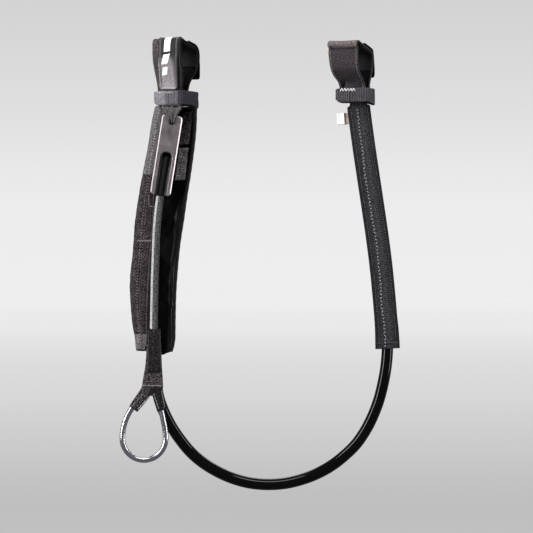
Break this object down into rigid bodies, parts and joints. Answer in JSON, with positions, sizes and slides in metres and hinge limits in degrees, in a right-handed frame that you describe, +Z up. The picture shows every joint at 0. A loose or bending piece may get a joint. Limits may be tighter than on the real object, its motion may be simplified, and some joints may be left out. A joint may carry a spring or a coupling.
{
  "type": "adjustable windsurf harness line",
  "caption": "Adjustable harness line hung from a boom by two webbing belts, with a sleeved smooth tube, a clam cleat under a cover and a tail with a pull ring.",
  "frame": {"origin": "centre of the adjuster belt's boom bore", "axes": "+X along the boom towards the fixed end, +Y away from the sailor, +Z up, with the line hanging down"},
  "size_m": [0.2518, 0.0465, 0.4095],
  "materials": {
    "webbing": "woven polyester webbing",
    "webbing_light": "worn woven webbing",
    "cover_cloth": "coated cover cloth",
    "cover_lining": "smooth coated lining",
    "velcro": "hook and loop pile",
    "elastic": "ribbed elastic",
    "grip_liner": "grippy liner",
    "label_rubber": "moulded rubbery label panel",
    "thread": "sewing thread",
    "anodised": "dark anodised",
    "jaw_black": "hard black",
    "rope": "braided rope",
    "tail_sheath": "striped sheathed rope",
    "tube_pu": "polished polyurethane",
    "steel": "polished stainless wire",
    "label_white": "woven white label",
    "label_tan": "tan tape"
  },
  "bodies": {
    "adjuster_belt": {"adjuster_belt": "webbing", "adjuster_liner": "grip_liner", "adjuster_loop_patch": "velcro", "adjuster_label": "label_rubber", "adjuster_label_stitch": "thread"},
    "adjuster_tab": {"adjuster_tab": "webbing", "adjuster_tab_hook": "velcro"},
    "adjuster_keeper": {"adjuster_keeper": "elastic"},
    "line": {"hanger": "webbing", "cleat_body": "anodised", "cleat_jaws": "jaw_black", "cleat_rope": "rope", "cover_flap": "cover_cloth", "cover_wall": "cover_cloth", "cover_back": "cover_cloth", "cover_side": "cover_cloth", "cover_strip": "velcro", "cover_top_strap": "webbing_light", "cover_lining": "cover_lining", "cover_rim": "cover_cloth", "cover_patch_upper": "velcro", "cover_patch_lower": "velcro", "cover_bartack": "thread", "tube": "tube_pu", "line_rope": "rope", "tail_rope": "tail_sheath", "sleeve": "webbing", "sleeve_hem": "webbing", "sleeve_stitch": "thread", "label_base": "label_tan", "label_flag": "label_white"},
    "handle": {"handle_stem": "webbing_light", "handle_sleeve": "webbing_light", "handle_seam": "thread"},
    "ring": {"left_leg": "webbing_light", "right_leg": "webbing_light", "pull_ring": "steel"},
    "fixed_belt": {"fixed_belt": "webbing", "fixed_liner": "grip_liner", "fixed_loop_patch": "velcro"},
    "fixed_tab": {"fixed_tab": "webbing", "fixed_tab_hook": "velcro"},
    "fixed_keeper": {"fixed_keeper": "elastic", "fixed_keeper_stitch": "thread"}
  },
  "joints": [
    {"name": "belt_twist", "type": "hinge", "parent": "adjuster_belt", "child": "line", "pos_m": [-0.003, -0.003, -0.044], "axis": [0, 0, 1], "range_deg": [-40, 40]},
    {"name": "fixed_belt_twist", "type": "hinge", "parent": "line", "child": "fixed_belt", "pos_m": [0.164, 0, -0.0413], "axis": [0, 0, 1], "range_deg": [-40, 40]},
    {"name": "adjuster_tab_open", "type": "hinge", "parent": "adjuster_belt", "child": "adjuster_tab", "pos_m": [0.00213, 0.00457, 0.01884], "axis": [0.9063, -0.4226, 0], "range_deg": [0, 110]},
    {"name": "fixed_tab_open", "type": "hinge", "parent": "fixed_belt", "child": "fixed_tab", "pos_m": [0.16013, 0.00457, 0.01524], "axis": [0.9063, -0.4226, 0], "range_deg": [0, 110]},
    {"name": "adjuster_keeper_slide", "type": "slide", "parent": "adjuster_belt", "child": "adjuster_keeper", "axis": [0, 0, 1], "range_m": [0, 0.009]},
    {"name": "fixed_keeper_slide", "type": "slide", "parent": "fixed_belt", "child": "fixed_keeper", "axis": [0, 0, 1], "range_m": [0, 0.005]},
    {"name": "tail_pull", "type": "slide", "parent": "line", "child": "handle", "axis": [0.0472, 0, 0.9989], "range_m": [0, 0.11], "deforming": ["tail_rope"]},
    {"name": "ring_swing", "type": "hinge", "parent": "handle", "child": "ring", "pos_m": [-0.0206, -0.0176, -0.2974], "axis": [-1, 0, 0], "range_deg": [0, 100]}
  ]
}
